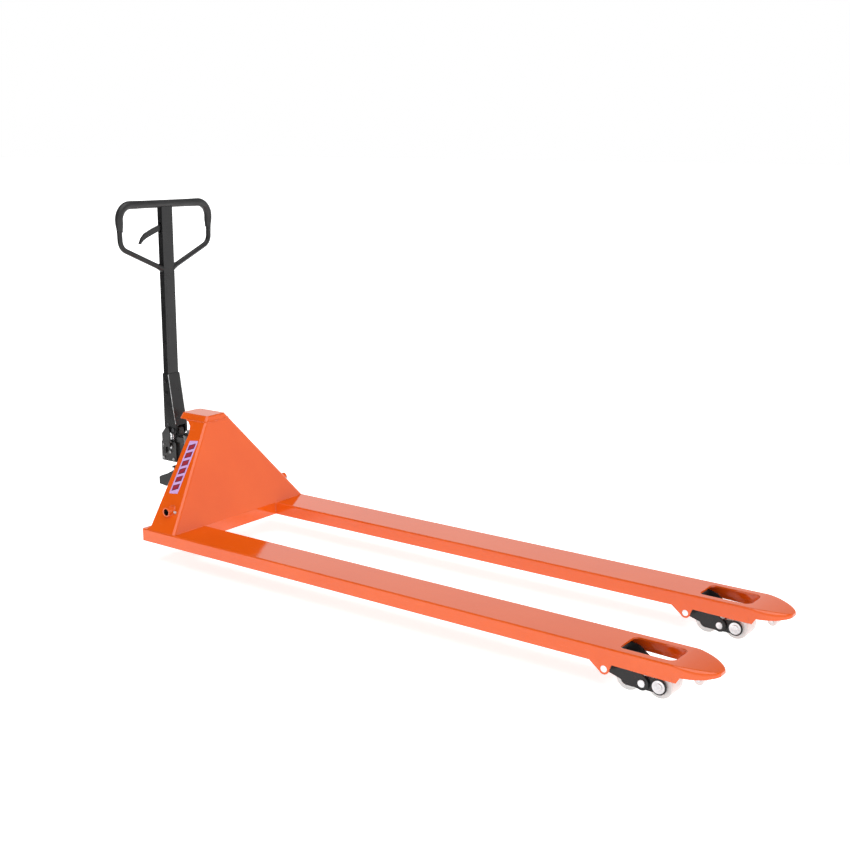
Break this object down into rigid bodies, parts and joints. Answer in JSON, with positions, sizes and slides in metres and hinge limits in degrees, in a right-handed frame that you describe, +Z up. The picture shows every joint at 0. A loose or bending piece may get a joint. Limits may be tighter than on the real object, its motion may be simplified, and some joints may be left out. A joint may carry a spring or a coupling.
{
  "type": "pallet jack",
  "caption": "Hand pallet jack with two extra-long flat forks, a folded pyramid frame, a steered hydraulic pump unit, a loop handle and tandem nylon load rollers.",
  "frame": {"origin": "on the floor under the middle of the jack's outline, with the forks standing at 125 mm", "axes": "+X along the forks towards their tips, +Y to the left seen from the handle, +Z up"},
  "size_m": [2.39, 0.685, 1.265],
  "materials": {
    "black_paint": "semi-gloss",
    "black_rubber": "moulded",
    "bright_steel": "ground",
    "bronze": "sintered",
    "cast_black": "painted",
    "chrome": "polished",
    "label_film": "printed film",
    "orange_paint": "gloss",
    "tyre": "moulded",
    "white_nylon": "moulded",
    "zinc_steel": "zinc plated"
  },
  "bodies": {
    "yoke": {"thrust_collar": "black_paint", "thrust_bearing": "bright_steel"},
    "chassis": {"fork_right": "orange_paint", "fork_left": "orange_paint", "window_rails": "orange_paint", "wheel_pivot_shafts": "bright_steel", "entry_roller_pins": "bright_steel", "frame_shell": "orange_paint", "top_cap": "orange_paint", "ram_socket": "orange_paint", "ram": "chrome", "rocker_bosses": "orange_paint", "rocker_shaft": "bright_steel", "side_labels": "label_film"},
    "rocker": {"rocker": "orange_paint", "rocker_bushes": "bronze", "lever_pins": "bright_steel"},
    "pump": {"pump_body": "cast_black", "gland_nut": "cast_black", "pump_bolts": "zinc_steel", "steer_axle": "bright_steel", "axle_clips": "zinc_steel", "steer_bearings": "bright_steel", "pedal_pin": "bright_steel"},
    "plunger": {"pump_plunger": "chrome", "plunger_spring": "zinc_steel"},
    "pedal": {"foot_pedal": "black_paint"},
    "handle": {"handle_base": "black_paint", "handle_pins": "bright_steel", "handle_stem": "black_paint", "handle_loop": "black_paint", "handle_grip": "black_rubber", "stem_screws": "black_paint"},
    "cam_roller": {"cam_roller": "bright_steel"},
    "control_lever": {"control_lever": "black_paint"},
    "release_rod": {"release_rod": "zinc_steel"},
    "wheel_frame_right": {"wheel_frame_right": "black_paint", "rod_pin_right": "bright_steel"},
    "push_rod_right": {"push_rod_right": "black_paint"},
    "bogie_pin_right": {"bogie_pin_right": "bright_steel"},
    "bogie_right": {"bogie_plates_right": "black_paint", "roller_axles_right": "bright_steel", "roller_bearings_right": "bright_steel"},
    "load_roller_rear_right": {"load_roller_rear_right": "white_nylon"},
    "load_roller_front_right": {"load_roller_front_right": "white_nylon"},
    "entry_roller_right": {"entry_roller_right": "white_nylon"},
    "steer_wheel_right": {"steer_hub_right": "white_nylon", "steer_tyre_right": "tyre"},
    "wheel_frame_left": {"wheel_frame_left": "black_paint", "rod_pin_left": "bright_steel"},
    "push_rod_left": {"push_rod_left": "black_paint"},
    "bogie_pin_left": {"bogie_pin_left": "bright_steel"},
    "bogie_left": {"bogie_plates_left": "black_paint", "roller_axles_left": "bright_steel", "roller_bearings_left": "bright_steel"},
    "load_roller_rear_left": {"load_roller_rear_left": "white_nylon"},
    "load_roller_front_left": {"load_roller_front_left": "white_nylon"},
    "entry_roller_left": {"entry_roller_left": "white_nylon"},
    "steer_wheel_left": {"steer_hub_left": "white_nylon", "steer_tyre_left": "tyre"}
  },
  "joints": [
    {"name": "lift", "type": "slide", "parent": "yoke", "child": "chassis", "axis": [0, 0, 1], "range_m": [-0.04, 0.065]},
    {"name": "steer", "type": "hinge", "parent": "yoke", "child": "pump", "pos_m": [-1.032, 0, 0.2], "axis": [0, 0, 1], "range_deg": [-90, 90]},
    {"name": "rocker_swing", "type": "hinge", "parent": "chassis", "child": "rocker", "pos_m": [-0.879, 0, 0.191], "axis": [0, -1, 0], "range_deg": [-15.2, 24.6]},
    {"name": "handle_tilt", "type": "hinge", "parent": "pump", "child": "handle", "pos_m": [-1.129, 0, 0.405], "axis": [0, -1, 0], "range_deg": [0, 75], "stiffness_Nm_per_rad": 12, "springref_deg": -22.92},
    {"name": "cam_spin", "type": "hinge", "parent": "handle", "child": "cam_roller", "pos_m": [-1.156, 0, 0.4255], "axis": [0, 1, 0], "continuous": true},
    {"name": "plunger_stroke", "type": "slide", "parent": "pump", "child": "plunger", "axis": [0, 0, -1], "range_m": [0, 0.0412], "deforming": ["plunger_spring"]},
    {"name": "control_lever_squeeze", "type": "hinge", "parent": "handle", "child": "control_lever", "pos_m": [-1.161, -0.01, 1.166], "axis": [-1, 0, 0], "range_deg": [-12, 20], "stiffness_Nm_per_rad": 4},
    {"name": "release_rod_slide", "type": "slide", "parent": "handle", "child": "release_rod", "axis": [0, 0, -1], "range_m": [-0.0054, 0.0091]},
    {"name": "pedal_press", "type": "hinge", "parent": "pump", "child": "pedal", "pos_m": [-1.112, -0.0365, 0.262], "axis": [0, -1, 0], "range_deg": [0, 18], "stiffness_Nm_per_rad": 5, "springref_deg": -6.88},
    {"name": "wheel_frame_swing_right", "type": "hinge", "parent": "chassis", "child": "wheel_frame_right", "pos_m": [0.881, -0.265, 0.063], "axis": [0, 1, 0], "range_deg": [-24.9, 40.4]},
    {"name": "push_rod_level_right", "type": "hinge", "parent": "wheel_frame_right", "child": "push_rod_right", "pos_m": [0.87557, -0.252, 0.10263], "axis": [0, -1, 0], "range_deg": [-24.9, 40.4]},
    {"name": "bogie_level_right", "type": "hinge", "parent": "wheel_frame_right", "child": "bogie_pin_right", "pos_m": [0.983, -0.265, 0.037], "axis": [0, -1, 0], "range_deg": [-24.9, 40.4]},
    {"name": "bogie_rock_right", "type": "hinge", "parent": "bogie_pin_right", "child": "bogie_right", "pos_m": [0.983, -0.265, 0.037], "axis": [0, 1, 0], "range_deg": [-10, 10]},
    {"name": "load_roller_rear_right_spin", "type": "hinge", "parent": "bogie_right", "child": "load_roller_rear_right", "pos_m": [0.935, -0.265, 0.037], "axis": [0, 1, 0], "continuous": true},
    {"name": "load_roller_front_right_spin", "type": "hinge", "parent": "bogie_right", "child": "load_roller_front_right", "pos_m": [1.031, -0.265, 0.037], "axis": [0, 1, 0], "continuous": true},
    {"name": "entry_roller_right_spin", "type": "hinge", "parent": "chassis", "child": "entry_roller_right", "pos_m": [1.137, -0.265, 0.077], "axis": [0, 1, 0], "continuous": true},
    {"name": "steer_wheel_right_spin", "type": "hinge", "parent": "pump", "child": "steer_wheel_right", "pos_m": [-1.032, -0.059, 0.09], "axis": [0, 1, 0], "continuous": true},
    {"name": "wheel_frame_swing_left", "type": "hinge", "parent": "chassis", "child": "wheel_frame_left", "pos_m": [0.881, 0.265, 0.063], "axis": [0, 1, 0], "range_deg": [-24.9, 40.4]},
    {"name": "push_rod_level_left", "type": "hinge", "parent": "wheel_frame_left", "child": "push_rod_left", "pos_m": [0.87557, 0.252, 0.10263], "axis": [0, -1, 0], "range_deg": [-24.9, 40.4]},
    {"name": "bogie_level_left", "type": "hinge", "parent": "wheel_frame_left", "child": "bogie_pin_left", "pos_m": [0.983, 0.265, 0.037], "axis": [0, -1, 0], "range_deg": [-24.9, 40.4]},
    {"name": "bogie_rock_left", "type": "hinge", "parent": "bogie_pin_left", "child": "bogie_left", "pos_m": [0.983, 0.265, 0.037], "axis": [0, 1, 0], "range_deg": [-10, 10]},
    {"name": "load_roller_rear_left_spin", "type": "hinge", "parent": "bogie_left", "child": "load_roller_rear_left", "pos_m": [0.935, 0.265, 0.037], "axis": [0, 1, 0], "continuous": true},
    {"name": "load_roller_front_left_spin", "type": "hinge", "parent": "bogie_left", "child": "load_roller_front_left", "pos_m": [1.031, 0.265, 0.037], "axis": [0, 1, 0], "continuous": true},
    {"name": "entry_roller_left_spin", "type": "hinge", "parent": "chassis", "child": "entry_roller_left", "pos_m": [1.137, 0.265, 0.077], "axis": [0, 1, 0], "continuous": true},
    {"name": "steer_wheel_left_spin", "type": "hinge", "parent": "pump", "child": "steer_wheel_left", "pos_m": [-1.032, 0.059, 0.09], "axis": [0, 1, 0], "continuous": true}
  ],
  "couplings": [
    {"joint": "rocker_swing", "follows": "lift", "rad_per_m": 6.5359},
    {"joint": "plunger_stroke", "follows": "handle_tilt", "m_per_rad": 0.03132},
    {"joint": "release_rod_slide", "follows": "control_lever_squeeze", "m_per_rad": 0.0255},
    {"joint": "wheel_frame_swing_right", "follows": "lift", "rad_per_m": 10.82},
    {"joint": "push_rod_level_right", "follows": "lift", "rad_per_m": 10.82},
    {"joint": "bogie_level_right", "follows": "lift", "rad_per_m": 10.82},
    {"joint": "wheel_frame_swing_left", "follows": "lift", "rad_per_m": 10.82},
    {"joint": "push_rod_level_left", "follows": "lift", "rad_per_m": 10.82},
    {"joint": "bogie_level_left", "follows": "lift", "rad_per_m": 10.82}
  ]
}
